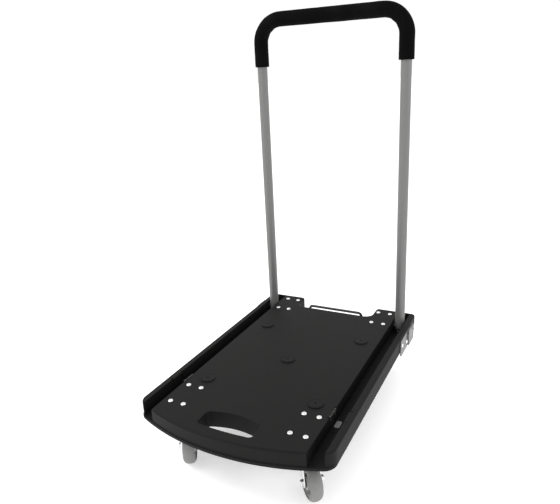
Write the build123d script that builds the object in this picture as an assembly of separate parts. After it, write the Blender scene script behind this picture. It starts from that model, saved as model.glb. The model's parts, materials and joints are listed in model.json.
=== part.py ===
from build123d import *
import os

# Folding platform cart, in millimetres.
# +X is the cart's right, +Y its rear (the handle end) and +Z up.
# The origin is on the floor, under the centre of the platform.

# Platform moulding
PLATFORM_WIDTH = 480.0
PLATFORM_LENGTH = 740.0
DECK_HEIGHT = 158.0            # loading surface above the floor
SKIN = 4.0                     # thickness of the deck and the outer walls
RIB = 3.0
RIM_WIDTH = 16.0               # rail outside each leg channel
RIM_INNER_WALL = 3.5
CHANNEL_SKIN = 3.5             # floor of a leg channel
SKIRT_BELOW_CHANNEL = 6.0      # side walls reach this far below the channel floor
FRONT_BOW_RADIUS = 580.0
FRONT_CORNER_RADIUS = 30.0
REAR_CORNER_RADIUS = 12.0
TOP_ROUND = 4.0                # rounding of the outer top edge
FRONT_STEP = 2.5               # the face above the front lip stands back by this much
LIP_ROUND = 1.5
CHANNEL_EDGE_ROUND = 1.2
UNDER_START = 84.0             # from the front edge to the hollows under the channels and rails
CROSS_RIB_PITCH = 74.0
LONG_RIB_X = 62.0

# Recess for the release bar
RECESS_HALF_WIDTH = 121.0
RECESS_DEPTH = 67.0
RECESS_INNER_RADIUS = 24.0
RECESS_OUTER_RADIUS = 10.0

# Hand hole at the front
HAND_HOLE_WIDTH = 136.0
HAND_HOLE_FRONT = 30.0         # from the front edge to the hole's near side
HAND_HOLE_DEPTH = 61.0         # front to back at the middle
HAND_HOLE_ARCH = 14.0          # rise of the arched far side
HAND_HOLE_BOW = 3.0            # rise of the near side
HAND_HOLE_CORNER = 9.0

# Raised discs on the deck
PAD_DIAMETER = 36.5
PAD_HEIGHT = 2.5
PAD_STUD_DIAMETER = 8.0
PAD_STUD_LENGTH = 8.0
PAD_ROUND = 1.0
PAD_GROOVE = (29.0, 31.5, 0.8)  # inner and outer diameter, depth
PAD_DIMPLE = (8.0, 1.0)        # diameter and depth, at the middle
STUD_FLOOR = 1.0               # hole left below each stud or screw
PAD_X = 143.5
PAD_ROWS = (-176.0, 144.0)
CENTRE_PAD_Y = -19.0

# Handle
TUBE_DIAMETER = 28.0
TUBE_WALL = 1.5
BEND_RADIUS = 62.0
HANDLE_TOP = 1025.0            # top of the grip above the floor
GRIP_DIAMETER = 40.0
GRIP_LEG_LENGTH = 123.0        # grip on each leg, below the crossbar's centre line
GRIP_STRETCH = 0.1             # gap between foam and tube
CHANNEL_SIDE_GAP = 3.0         # folded leg to channel wall
FOLDED_SINK = 4.0              # top of the folded leg below the deck surface
FOLDED_UNDER_GAP = 2.0         # folded leg above the channel floor
PIVOT_TO_REAR = 57.0

# Leg plugs
PLUG_GAP = 0.1
PLUG_LENGTH = 64.0
PLUG_RIVET_HEIGHT = 36.0       # above the pivot
PLUG_RIVET_DIAMETER = 5.0
PLUG_RIVET_HEAD = 8.0
PLUG_RIVET_HEAD_HEIGHT = 1.0
HEEL_NOTCH = (9.0, 16.0, 2.5)

# Pivot hardware
PIVOT_DIAMETER = 8.0
PIN_GAP = 0.06                 # radial running clearance on every pin
HOLE_GAP = 0.1                 # radial clearance of a fixed fastener
WASHER_DIAMETER = 20.0
RUNNING_GAP = 0.3              # side clearance between moving faces
NUT_HEIGHT = 7.0
NUT_WASHER = 1.2
NUT_FLANGE_DIAMETER = 18.0
NUT_FLANGE_HEIGHT = 1.5
BOLT_HEAD_HEIGHT = 5.3
BOLT_FLATS = 13.0
BOLT_HEAD_ROUND = 0.6
NUT_WASHER_FLANGE = 4.0        # washer diameter over the nut's flats

# Hinge brackets
SHEET = 2.5
BRACKET_LENGTH = 132.0
BRACKET_REAR_OVERHANG = 9.0    # behind the pivot
BRACKET_DROP = 13.0            # below the moulding
BRACKET_TOP_GAP = 6.0          # below the deck surface
BRACKET_CORNER = 8.0
HOUSING_LENGTH = 58.0
HOUSING_PROUD = 1.5            # hollow behind the raised rear part
HOUSING_CORNER = 6.0
BRACKET_RIVETS = ((111.0, -4.0), (62.0, -16.0))   # ahead of and above the pivot
BRACKET_RIVET_DIAMETER = 6.0
BRACKET_RIVET_HEAD = 11.0
BRACKET_RIVET_HEAD_HEIGHT = 2.4
BRACKET_RIVET_TAIL = 9.0
DOME = 0.8                     # rounding of a rivet head, as a share of its height

# Leg clips
CLIP_FRONT = 160.0             # from the front edge to the clip's near end
CLIP_LENGTH = 36.0
CLIP_STEEL = 1.0
CLIP_FLANGE = 2.0
CLIP_DROP = 13.0
CLIP_CREST_DROP = 4.0          # widest point of the leaf's bulge, below the deck surface
CLIP_CREST = 2.0               # half the height of the bulge
CLIP_BULGE = 1.2
CLIP_SLOT = 3.0
CLIP_SLOT_DROP = 20.0
FINGER_LIP = 1.8               # lips on the rail opposite each clip
FINGER_LIP_TOP = 1.0           # below the deck surface
FINGER_LIP_HEIGHT = 4.0
CLIP_RIVET_DIAMETER = 2.4
CLIP_RIVET_HEAD = 4.4
CLIP_RIVET_DROP = 9.2          # below the deck surface
CLIP_RIVET_HEAD_HEIGHT = 0.8

# Rubber buffers on the channel floors, under the folded legs
BUFFER_SIZE = (12.5, 25.0, 1.2)
BUFFER_CORNER = 5.0
BUFFER_EDGE = 2.6              # buffer to the deck's side wall
BUFFER_FRONT = 174.0           # from the front edge to the buffer's near end
BUFFER_STUD = 6.0
BUFFER_KNOB = (9.0, 2.0)       # diameter and height of the stud's knob under the floor

# Release bar, shaft and pawls
SHAFT_DIAMETER = 8.0
SHAFT_AHEAD = 73.0             # ahead of the pivot
SHAFT_DROP = 6.0               # centre below the moulding
BAR_DIAMETER = 8.0
BAR_HALF_WIDTH = 85.0
BAR_SLOT = 18.0                # finger gap between the recess and the bar
BAR_BEND = 10.0
PAWL_WIDTH = 8.0
PAWL_HUB_DIAMETER = 14.0
PAWL_ARM = 9.0
PAWL_TIP_LENGTH = 14.0
PAWL_GAP = 0.4                 # pawl tip to leg heel
HEEL_WINDOW = (11.0, 18.5)     # opening in the channel floor for the pawl's tip
BEARING_X = 120.0
BEARING_SIZE = (18.0, 26.0, 15.0)
BEARING_SCREW_DIAMETER = 4.0
BEARING_SCREW_HEAD = 8.0
BEARING_SCREW_HEAD_HEIGHT = 2.5
BEARING_SCREW_LENGTH = 12.0
BEARING_SCREW_SPACING = 17.0
SPRING_WIRE = 1.2
SPRING_GAP = 0.5               # between shaft and coil
SPRING_TURNS = 5
SPRING_PITCH = 1.6
SPRING_LEG = 9.0                # coil to the bearing

# Casters
WHEEL_DIAMETER = 84.0
WHEEL_WIDTH = 28.0
TREAD_THICKNESS = 10.0
TREAD_ROUND = 5.0
HUB_WEB = 10.0
HUB_BOSS_DIAMETER = 32.0
HUB_RIM_THICKNESS = 4.5
HUB_RIM_INSET = 2.5            # tread wider than the rim, each side
HUB_TAPER = 2.0                # slope where the web meets rim and boss
BEARING_DIAMETER = 22.0
BEARING_NECK = 15.0            # narrow end of the bearing, towards the fork
BEARING_SINK = 6.0             # length of each bearing inside the hub
HUB_BORE_LEDGE = 3.0           # hub bore smaller than the bearing seat
AXLE_DIAMETER = 8.0
TRAIL = 32.0
CASTER_EDGE = 38.0             # kingpin to the leg channel
CASTER_FRONT = 115.0           # kingpin to the front edge
CASTER_REAR = 66.0             # kingpin to the rear edge
PLATE_SIZE = (58.0, 94.0, 3.0)
PLATE_CORNER = 7.0
RIVET_SPACING = (35.5, 72.0)
RIVET_DIAMETER = 7.0
RIVET_HEAD = 12.0
RIVET_HEAD_HEIGHT = 2.2
BOSS_DIAMETER = 16.0
RACE_OUTER = 44.0
RACE_INNER = 24.0
RACE_HEIGHT = 3.0
BALL_DIAMETER = 5.0
BALL_COUNT = 14
BALL_CIRCLE = 34.0
BALL_GAP = 0.1
SWIVEL_GAP = 0.4
KINGPIN_DIAMETER = 10.0
KINGPIN_HEAD = 18.0
KINGPIN_HEAD_HEIGHT = 4.0
FORK_STEEL = 3.0
FORK_SIDE_GAP = 2.5
CROWN_DIAMETER = 52.0
CROWN_BACK_INSET = 8.0         # fork's top edge inside the crown, behind the kingpin
CROWN_FRONT_INSET = 7.0        # fork's top edge short of the axle
FORK_EYE_DIAMETER = 22.0
SKIRT_WALL = 1.9
SKIRT_GAP = 0.6                # skirt to the upper race
SKIRT_RISE = 6.0
FORK_ROUND = 1.2
CASTERS = {                    # side, end, direction in which the wheel trails
    "front_left": (-1, -1, -59.0),
    "front_right": (1, -1, -47.0),
    "rear_left": (-1, 1, 150.0),
    "rear_right": (1, 1, 160.0),
}

# Places worked out from the sizes above
DECK_TOP = DECK_HEIGHT
SKIRT_DEPTH = FOLDED_SINK + TUBE_DIAMETER + FOLDED_UNDER_GAP + SKIRT_BELOW_CHANNEL
DECK_BASE = DECK_HEIGHT - SKIRT_DEPTH
FRONT_Y = -PLATFORM_LENGTH / 2
REAR_Y = PLATFORM_LENGTH / 2
SIDE_X = PLATFORM_WIDTH / 2
CHANNEL_OUT = SIDE_X - RIM_WIDTH
CHANNEL_IN = CHANNEL_OUT - TUBE_DIAMETER - 2 * CHANNEL_SIDE_GAP
CHANNEL_REAR = REAR_Y - SKIN
LEG_X = (CHANNEL_IN + CHANNEL_OUT) / 2
PIVOT_Y = REAR_Y - PIVOT_TO_REAR
PIVOT_Z = DECK_TOP - FOLDED_SINK - TUBE_DIAMETER / 2
CHANNEL_FLOOR = PIVOT_Z - TUBE_DIAMETER / 2 - FOLDED_UNDER_GAP
LIP_TOP = CHANNEL_FLOOR + FOLDED_UNDER_GAP / 2
RECESS_Y = REAR_Y - RECESS_DEPTH
CROSSBAR_Z = HANDLE_TOP - GRIP_DIAMETER / 2
CLIP_Y = FRONT_Y + CLIP_FRONT + CLIP_LENGTH / 2
BUFFER_X = CHANNEL_IN + BUFFER_EDGE + BUFFER_SIZE[0] / 2
BUFFER_Y = FRONT_Y + BUFFER_FRONT + BUFFER_SIZE[1] / 2
SHAFT_Y = PIVOT_Y - SHAFT_AHEAD
SHAFT_Z = DECK_BASE - SHAFT_DROP
BAR_Y = RECESS_Y + BAR_SLOT + BAR_DIAMETER / 2
BAR_Z = DECK_TOP - BAR_DIAMETER / 2
CASTER_X = CHANNEL_IN - CASTER_EDGE
PLATE_BASE = DECK_BASE - PLATE_SIZE[2]
RACE_BASE = PLATE_BASE - RACE_HEIGHT
BALL_Z = RACE_BASE - BALL_GAP - BALL_DIAMETER / 2
CROWN_TOP = BALL_Z - BALL_DIAMETER / 2 - SWIVEL_GAP
CROWN_BASE = CROWN_TOP - FORK_STEEL
AXLE_Z = WHEEL_DIAMETER / 2
CHEEK_IN = WHEEL_WIDTH / 2 + FORK_SIDE_GAP
CHEEK_OUT = CHEEK_IN + FORK_STEEL
HOUSING_X = SIDE_X + SHEET + HOUSING_PROUD + SHEET
CUT = 2.0                      # how far a cutting solid runs past a face


def group(shapes):
    """Several separate solids kept as one sub-part."""
    return Compound([solid for shape in shapes for solid in shape.solids()])


def block(x_range, y_range, z_range):
    """Box between two limits along each axis."""
    sizes = [high - low for low, high in (x_range, y_range, z_range)]
    middle = [(high + low) / 2 for low, high in (x_range, y_range, z_range)]
    return Pos(*middle) * Box(*sizes)


def rod(diameter, z_range):
    """Cylinder on the Z axis between two heights."""
    low, high = z_range
    return Pos(0, 0, (low + high) / 2) * Cylinder(diameter / 2, high - low)


def turned(*profile):
    """Solid turned about Z from its (radius, height) corners."""
    corners = [(radius, 0, height) for radius, height in profile]
    return revolve(make_face(Polyline(*corners, close=True)), Axis.Z)


def hexagon(across_flats, z_range):
    """Hexagonal prism on the Z axis between two heights."""
    low, high = z_range
    plan = RegularPolygon(across_flats / 2, 6, major_radius=False)
    return Pos(0, 0, low) * extrude(plan, high - low)


def along_x(shape, y, z):
    """Turn a shape made on the Z axis to lie along +X at a height and a station."""
    return Pos(0, y, z) * Rot(0, 90, 0) * shape


def both_sides(shape):
    """The right-hand shape and its mirror image on the left."""
    return [shape, mirror(shape, Plane.YZ)]


def platform_plan(front_step=0.0):
    """Plan of the moulding: bowed front, square rear with a recess between two tabs."""
    front = FRONT_Y + front_step
    plan = Pos(0, (front + REAR_Y) / 2) * Rectangle(PLATFORM_WIDTH, REAR_Y - front)
    plan &= Pos(0, front + FRONT_BOW_RADIUS) * Circle(FRONT_BOW_RADIUS)
    plan = fillet(plan.vertices().group_by(Axis.Y)[0], FRONT_CORNER_RADIUS)
    plan = fillet(plan.vertices().group_by(Axis.Y)[-1], REAR_CORNER_RADIUS)
    recess_middle = (RECESS_Y + REAR_Y + CUT) / 2
    plan -= Pos(0, recess_middle) * Rectangle(2 * RECESS_HALF_WIDTH, RECESS_DEPTH + CUT)

    def corners(y):
        return [v for v in plan.vertices() if abs(v.Y - y) < 0.01 and abs(abs(v.X) - RECESS_HALF_WIDTH) < 0.01]

    plan = fillet(corners(RECESS_Y), RECESS_INNER_RADIUS)
    return fillet(corners(REAR_Y), RECESS_OUTER_RADIUS)


def hand_hole_plan():
    """Arched slot for carrying the cart."""
    near = FRONT_Y + HAND_HOLE_FRONT
    far = near + HAND_HOLE_DEPTH
    half = HAND_HOLE_WIDTH / 2
    outline = [
        ThreePointArc((-half, near + HAND_HOLE_BOW), (0, near), (half, near + HAND_HOLE_BOW)),
        Line((half, near + HAND_HOLE_BOW), (half, far - HAND_HOLE_ARCH)),
        ThreePointArc((half, far - HAND_HOLE_ARCH), (0, far), (-half, far - HAND_HOLE_ARCH)),
        Line((-half, far - HAND_HOLE_ARCH), (-half, near + HAND_HOLE_BOW)),
    ]
    plan = make_face(outline)
    return fillet(plan.vertices(), HAND_HOLE_CORNER)


def caster_centres():
    """Kingpin place of each caster."""
    ends = {-1: FRONT_Y + CASTER_FRONT, 1: REAR_Y - CASTER_REAR}
    return {name: (side * CASTER_X, ends[end]) for name, (side, end, _) in CASTERS.items()}


def rivet_centres():
    """Places of the four rivets of every caster."""
    half_x, half_y = RIVET_SPACING[0] / 2, RIVET_SPACING[1] / 2
    return [
        (x + side * half_x, y + end * half_y)
        for x, y in caster_centres().values()
        for side in (-1, 1)
        for end in (-1, 1)
    ]


def pad_centres():
    """Places of the raised discs."""
    return [(0, CENTRE_PAD_Y)] + [(side * PAD_X, y) for side in (-1, 1) for y in PAD_ROWS]


def bearing_screw_centres():
    """Places of the screws that hold the shaft bearings, on the right and on the left."""
    half = BEARING_SCREW_SPACING / 2
    return [(side * BEARING_X, SHAFT_Y + end * half) for side in (-1, 1) for end in (-1, 1)]


def cavity_plan():
    """Hollow under the deck, with its ribs, bosses and the wall of the hand hole left standing."""
    inner_half = CHANNEL_IN - SKIN
    hollow = offset(platform_plan(FRONT_STEP), -SKIN)
    hollow &= Rectangle(2 * inner_half, PLATFORM_LENGTH)
    count = int(PLATFORM_LENGTH / CROSS_RIB_PITCH)
    ribs = [Pos(0, (i - count / 2) * CROSS_RIB_PITCH) * Rectangle(2 * inner_half, RIB) for i in range(1, count)]
    ribs += [Pos(side * LONG_RIB_X, 0) * Rectangle(RIB, PLATFORM_LENGTH) for side in (-1, 1)]
    bosses = [Pos(x, y) * Circle(BOSS_DIAMETER / 2) for x, y in rivet_centres()]
    bosses += [Pos(x, y) * Circle(PAD_STUD_DIAMETER / 2 + SKIN) for x, y in pad_centres()]
    for side in (-1, 1):
        seat = Rectangle(BEARING_SIZE[0], BEARING_SIZE[1])
        bosses.append(Pos(side * BEARING_X, SHAFT_Y) * seat)
    hollow = hollow - ribs - bosses
    return hollow - offset(hand_hole_plan(), SKIN)


def spring_zone():
    """Room that the return springs need in the ribs, on the right-hand side."""
    reach = SPRING_WIRE + SPRING_GAP + SHAFT_DIAMETER / 2 + SKIN
    x_low = LONG_RIB_X + RIB
    x_high = BEARING_X - BEARING_SIZE[0] / 2
    return block((x_low, x_high), (SHAFT_Y - reach, SHAFT_Y + reach), (DECK_BASE - CUT, DECK_BASE + SKIN))


def channel_cuts():
    """Everything cut on the right-hand side for the leg channel, its windows and its slots."""
    clip_rear = CLIP_Y + CLIP_LENGTH / 2
    clip_front = CLIP_Y - CLIP_LENGTH / 2
    floor_cut = (DECK_BASE - CUT, CHANNEL_FLOOR + CUT)
    cuts = [block((CHANNEL_IN, CHANNEL_OUT), (FRONT_Y - CUT, CHANNEL_REAR), (CHANNEL_FLOOR, DECK_TOP + CUT))]
    under = (FRONT_Y + UNDER_START, CHANNEL_REAR)
    cuts.append(block((CHANNEL_IN, CHANNEL_OUT), under, (DECK_BASE - CUT, CHANNEL_FLOOR - CHANNEL_SKIN)))
    rail_hollow = (CHANNEL_OUT + RIM_INNER_WALL, SIDE_X - SKIN)
    cuts.append(block(rail_hollow, under, (DECK_BASE - CUT, DECK_TOP - SKIN)))
    cuts.append(Pos(BUFFER_X, BUFFER_Y, 0) * rod(BUFFER_STUD + 2 * HOLE_GAP, floor_cut))
    heel_x = (LEG_X - HEEL_WINDOW[0] / 2, LEG_X + HEEL_WINDOW[0] / 2)
    heel_y = (PIVOT_Y - HEEL_WINDOW[1] / 2, PIVOT_Y + HEEL_WINDOW[1] / 2)
    cuts.append(block(heel_x, heel_y, floor_cut))
    for y in (clip_front - CLIP_SLOT, clip_rear):
        slot_y = (y, y + CLIP_SLOT)
        slot_z = (DECK_TOP - CLIP_SLOT_DROP, DECK_TOP + CUT)
        cuts.append(block((CHANNEL_OUT - CUT, CHANNEL_OUT + RIM_INNER_WALL + CUT), slot_y, slot_z))
        cuts.append(block((CHANNEL_IN - SKIN - CUT / 2, CHANNEL_IN + CUT), slot_y, slot_z))
    return cuts


def bracket_rivet_centres():
    """Station and height of each bracket rivet."""
    return [(PIVOT_Y - ahead, PIVOT_Z + up) for ahead, up in BRACKET_RIVETS]


def fastener_holes():
    """Holes for every fastener through the moulding."""
    holes = [Pos(x, y, 0) * rod(RIVET_DIAMETER + 2 * HOLE_GAP, (DECK_BASE - CUT, DECK_TOP + CUT))
             for x, y in rivet_centres()]
    stud = PAD_STUD_DIAMETER + 2 * HOLE_GAP
    stud_z = (DECK_TOP - PAD_STUD_LENGTH - STUD_FLOOR, DECK_TOP + CUT)
    holes += [Pos(x, y, 0) * rod(stud, stud_z) for x, y in pad_centres()]
    screw = BEARING_SCREW_DIAMETER + 2 * HOLE_GAP
    screw_z = (DECK_BASE - CUT, DECK_BASE + BEARING_SCREW_LENGTH + STUD_FLOOR)
    holes += [Pos(x, y, 0) * rod(screw, screw_z) for x, y in bearing_screw_centres()]
    pivot = rod(PIVOT_DIAMETER + 2 * HOLE_GAP, (CHANNEL_IN - SKIN - CUT, SIDE_X + CUT))
    holes += both_sides(along_x(pivot, PIVOT_Y, PIVOT_Z))
    for y, z in bracket_rivet_centres():
        hole = rod(BRACKET_RIVET_DIAMETER + 2 * HOLE_GAP, (SIDE_X - SKIN - CUT, SIDE_X + CUT))
        holes += both_sides(along_x(hole, y, z))
    for y, z in clip_rivet_centres():
        hole = rod(CLIP_RIVET_DIAMETER + 2 * HOLE_GAP, (CHANNEL_IN - SKIN - CUT, CHANNEL_IN + CUT))
        holes += both_sides(along_x(hole, y, z))
    return holes


def platform_deck():
    """One-piece moulding: deck, leg channels, rails and skirt, ribbed underneath."""
    lower = Pos(0, 0, DECK_BASE) * extrude(platform_plan(), LIP_TOP - DECK_BASE)
    lower = fillet(lower.edges().group_by(Axis.Z)[-1], LIP_ROUND)
    upper = Pos(0, 0, LIP_TOP - CUT) * extrude(platform_plan(FRONT_STEP), DECK_TOP - LIP_TOP + CUT)
    upper = fillet(upper.edges().group_by(Axis.Z)[-1], TOP_ROUND)
    deck = lower + upper
    deck -= Pos(0, 0, DECK_BASE) * extrude(cavity_plan(), SKIRT_DEPTH - SKIN)
    deck -= Pos(0, 0, DECK_BASE - CUT) * extrude(hand_hole_plan(), SKIRT_DEPTH + 2 * CUT)
    for cut in channel_cuts():
        deck -= both_sides(cut)
    deck -= both_sides(spring_zone())
    deck -= fastener_holes()
    finger_x = (CHANNEL_OUT - FINGER_LIP, CHANNEL_OUT)
    finger_y = (CLIP_Y - CLIP_LENGTH / 2, CLIP_Y + CLIP_LENGTH / 2)
    finger_top = DECK_TOP - FINGER_LIP_TOP
    finger = block(finger_x, finger_y, (finger_top - FINGER_LIP_HEIGHT, finger_top))
    deck += both_sides(finger)
    long_edges = [
        edge for edge in deck.edges().filter_by(Axis.Y)
        if abs(edge.center().Z - DECK_TOP) < 0.01 and edge.length > 3 * CLIP_LENGTH
        and abs(abs(edge.center().X) - CHANNEL_IN) < 0.01
    ]
    return fillet(long_edges, CHANNEL_EDGE_ROUND)


def deck_pads():
    """Raised discs pressed into the deck by a stud."""
    disc = Pos(0, 0, DECK_TOP) * extrude(Circle(PAD_DIAMETER / 2), PAD_HEIGHT)
    disc = fillet(disc.edges().group_by(Axis.Z)[-1], PAD_ROUND)
    top = DECK_TOP + PAD_HEIGHT
    inner, outer, depth = PAD_GROOVE
    disc -= rod(outer, (top - depth, top + CUT)) - rod(inner, (top - depth - CUT, top + 2 * CUT))
    disc -= rod(PAD_DIMPLE[0], (top - PAD_DIMPLE[1], top + CUT))
    pad = disc + rod(PAD_STUD_DIAMETER, (DECK_TOP - PAD_STUD_LENGTH, DECK_TOP))
    return group([Pos(x, y, 0) * pad for x, y in pad_centres()])


def dome_head(diameter, height, base):
    """Low domed head that stands on a given height."""
    head = rod(diameter, (base, base + height))
    return fillet(head.edges().group_by(Axis.Z)[-1], DOME * height)


def caster_rivets():
    """Rivets through the moulding and the caster plates."""
    tail_base = PLATE_BASE - RIVET_HEAD_HEIGHT
    rivet = rod(RIVET_DIAMETER, (tail_base, DECK_TOP)) + rod(RIVET_HEAD, (tail_base, PLATE_BASE))
    rivet += dome_head(RIVET_HEAD, RIVET_HEAD_HEIGHT, DECK_TOP)
    return group([Pos(x, y, 0) * rivet for x, y in rivet_centres()])


def rounded_plate(y_range, z_range, radius, x_low, thickness):
    """Upright sheet with rounded corners, square to X."""
    (y0, y1), (z0, z1) = y_range, z_range
    plan = RectangleRounded(y1 - y0, z1 - z0, radius)
    plane = Plane(origin=(x_low, (y0 + y1) / 2, (z0 + z1) / 2), x_dir=(0, 1, 0), z_dir=(1, 0, 0))
    return extrude(plane * plan, thickness)


def hinge_bracket():
    """Galvanised sheet bracket on the right rail, with a raised housing round the pivot."""
    rear = PIVOT_Y + BRACKET_REAR_OVERHANG
    heights = (DECK_BASE - BRACKET_DROP, DECK_TOP - BRACKET_TOP_GAP)
    sheet = rounded_plate((rear - BRACKET_LENGTH, rear), heights, BRACKET_CORNER, SIDE_X, SHEET)
    cover_x = SIDE_X + SHEET + HOUSING_PROUD
    housing_y = (rear - HOUSING_LENGTH, rear)
    cover = rounded_plate(housing_y, heights, HOUSING_CORNER, cover_x, SHEET)
    web_z = (heights[0] + HOUSING_CORNER, heights[1] - HOUSING_CORNER)
    webs_x = (SIDE_X + SHEET, cover_x)
    webs = [block(webs_x, (y, y + SHEET), web_z) for y in (housing_y[0], housing_y[1] - SHEET)]
    bracket = sheet + cover + webs
    bore = rod(PIVOT_DIAMETER + 2 * HOLE_GAP, (SIDE_X - CUT, HOUSING_X + CUT))
    bracket -= along_x(bore, PIVOT_Y, PIVOT_Z)
    for y, z in bracket_rivet_centres():
        hole = rod(BRACKET_RIVET_DIAMETER + 2 * HOLE_GAP, (SIDE_X - CUT, SIDE_X + SHEET + CUT))
        bracket -= along_x(hole, y, z)
    return bracket


def bracket_rivets():
    """Blind rivets that hold both brackets to the rails."""
    head = dome_head(BRACKET_RIVET_HEAD, BRACKET_RIVET_HEAD_HEIGHT, SIDE_X + SHEET)
    wall_inside = SIDE_X - SKIN
    tail_height = BRACKET_RIVET_HEAD_HEIGHT
    rivet = head + rod(BRACKET_RIVET_DIAMETER, (wall_inside - tail_height, SIDE_X + SHEET))
    rivet += rod(BRACKET_RIVET_TAIL, (wall_inside - tail_height, wall_inside))
    return group([s for y, z in bracket_rivet_centres() for s in both_sides(along_x(rivet, y, z))])


def pivot_bolt():
    """Hexagon bolt that the right leg turns on."""
    tail = CHANNEL_IN - SKIN - NUT_WASHER - NUT_HEIGHT - CUT
    head = hexagon(BOLT_FLATS, (HOUSING_X, HOUSING_X + BOLT_HEAD_HEIGHT))
    head = fillet(head.edges().group_by(Axis.Z)[-1], BOLT_HEAD_ROUND)
    return along_x(head + rod(PIVOT_DIAMETER, (tail, HOUSING_X)), PIVOT_Y, PIVOT_Z)


def pivot_nuts():
    """Lock nut with its washer, inside the moulding at each pivot."""
    wall = CHANNEL_IN - SKIN
    washer = rod(BOLT_FLATS + NUT_WASHER_FLANGE, (wall - NUT_WASHER, wall))
    nut = washer + hexagon(BOLT_FLATS, (wall - NUT_WASHER - NUT_HEIGHT, wall - NUT_WASHER))
    nut -= rod(PIVOT_DIAMETER + 2 * HOLE_GAP, (wall - NUT_WASHER - NUT_HEIGHT - CUT, wall + CUT))
    return group(both_sides(along_x(nut, PIVOT_Y, PIVOT_Z)))


def pivot_washers():
    """Nylon washers on both sides of each leg."""
    thickness = CHANNEL_SIDE_GAP - RUNNING_GAP
    washers = []
    for low in (CHANNEL_IN, CHANNEL_OUT - thickness):
        washer = rod(WASHER_DIAMETER, (low, low + thickness))
        washer -= rod(PIVOT_DIAMETER + 2 * HOLE_GAP, (low - CUT, low + thickness + CUT))
        washers += both_sides(along_x(washer, PIVOT_Y, PIVOT_Z))
    return group(washers)


def clip_rivet_centres():
    """Station and height of each rivet in a leg clip."""
    height = DECK_TOP - CLIP_RIVET_DROP
    return [(CLIP_Y + end * CLIP_LENGTH / 3, height) for end in (-1, 1)]


def leg_clip():
    """Spring steel leaf over the deck's edge that grips the folded right leg."""
    leaf_in = CHANNEL_IN
    leaf_out = CHANNEL_IN + CLIP_STEEL
    ends = (CLIP_Y - CLIP_LENGTH / 2, CLIP_Y + CLIP_LENGTH / 2)
    clip = block((leaf_in, leaf_out), ends, (DECK_TOP - CLIP_DROP, DECK_TOP + CLIP_STEEL))
    clip += block((leaf_out - CLIP_FLANGE, leaf_out), ends, (DECK_TOP, DECK_TOP + CLIP_STEEL))
    crest = DECK_TOP - CLIP_CREST_DROP
    bulge = Polyline((leaf_out, 0, crest - CLIP_CREST), (leaf_out + CLIP_BULGE, 0, crest),
                     (leaf_out, 0, crest + CLIP_CREST), close=True)
    clip += Pos(0, ends[0], 0) * extrude(make_face(bulge), CLIP_LENGTH, dir=(0, 1, 0))
    for y, z in clip_rivet_centres():
        clip -= along_x(rod(CLIP_RIVET_DIAMETER + 2 * HOLE_GAP, (leaf_in - CUT, leaf_out + CUT)), y, z)
    return clip


def clip_rivets():
    """Flat rivets that hold the leg clips to the deck's side wall."""
    outer = CHANNEL_IN + CLIP_STEEL
    inner = CHANNEL_IN - SKIN
    rivet = rod(CLIP_RIVET_DIAMETER, (inner - CLIP_RIVET_HEAD_HEIGHT, outer))
    rivet += rod(CLIP_RIVET_HEAD, (outer, outer + CLIP_RIVET_HEAD_HEIGHT))
    rivet += rod(CLIP_RIVET_HEAD, (inner - CLIP_RIVET_HEAD_HEIGHT, inner))
    return group([s for y, z in clip_rivet_centres() for s in both_sides(along_x(rivet, y, z))])


def leg_buffers():
    """Rubber buffer in the floor of each channel, held by a stud with a knob."""
    width, length, height = BUFFER_SIZE
    buffer = Pos(0, 0, CHANNEL_FLOOR) * extrude(RectangleRounded(width, length, BUFFER_CORNER), height)
    floor_base = CHANNEL_FLOOR - CHANNEL_SKIN
    buffer += rod(BUFFER_STUD, (floor_base, CHANNEL_FLOOR))
    buffer += rod(BUFFER_KNOB[0], (floor_base - BUFFER_KNOB[1], floor_base))
    return group(both_sides(Pos(BUFFER_X, BUFFER_Y, 0) * buffer))


def handle_path(leg_bottom):
    """Centre line of the handle, from the bottom of one leg over the crossbar to the other."""
    corners = [(-LEG_X, leg_bottom), (-LEG_X, CROSSBAR_Z), (LEG_X, CROSSBAR_Z), (LEG_X, leg_bottom)]
    return FilletPolyline(*[(x, PIVOT_Y, z) for x, z in corners], radius=BEND_RADIUS)


def bent_pipe(path, outer, inner):
    """Pipe along a path that starts straight up."""
    section = Plane(origin=path @ 0, z_dir=path % 0) * (Circle(outer / 2) - Circle(inner / 2))
    return sweep(section, path)


def heel_shape(x):
    """Space that a leg may fill, so that its end is round about the pivot."""
    radius = TUBE_DIAMETER / 2
    above = block((x - radius - CUT, x + radius + CUT), (PIVOT_Y - radius - CUT, PIVOT_Y + radius + CUT),
                  (PIVOT_Z, HANDLE_TOP + CUT))
    return above + Pos(x, 0, 0) * along_x(rod(TUBE_DIAMETER, (-radius - CUT, radius + CUT)), PIVOT_Y, PIVOT_Z)


def heel_cuts(x):
    """Bore for the pivot bolt, rivet hole and pawl notch in one leg."""
    radius = TUBE_DIAMETER / 2
    bore = along_x(rod(PIVOT_DIAMETER + 2 * PIN_GAP, (x - radius - CUT, x + radius + CUT)), PIVOT_Y, PIVOT_Z)
    rivet = Pos(x, PIVOT_Y, PIVOT_Z + PLUG_RIVET_HEIGHT) * Rot(-90, 0, 0) * rod(
        PLUG_RIVET_DIAMETER + 2 * HOLE_GAP, (-HOLE_GAP, radius + CUT))
    width, length, depth = HEEL_NOTCH
    heel = PIVOT_Z - radius
    notch = block((x - width / 2, x + width / 2), (PIVOT_Y - length / 2, PIVOT_Y + length / 2),
                  (heel - CUT, heel + depth))
    return [bore, rivet, notch]


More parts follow.
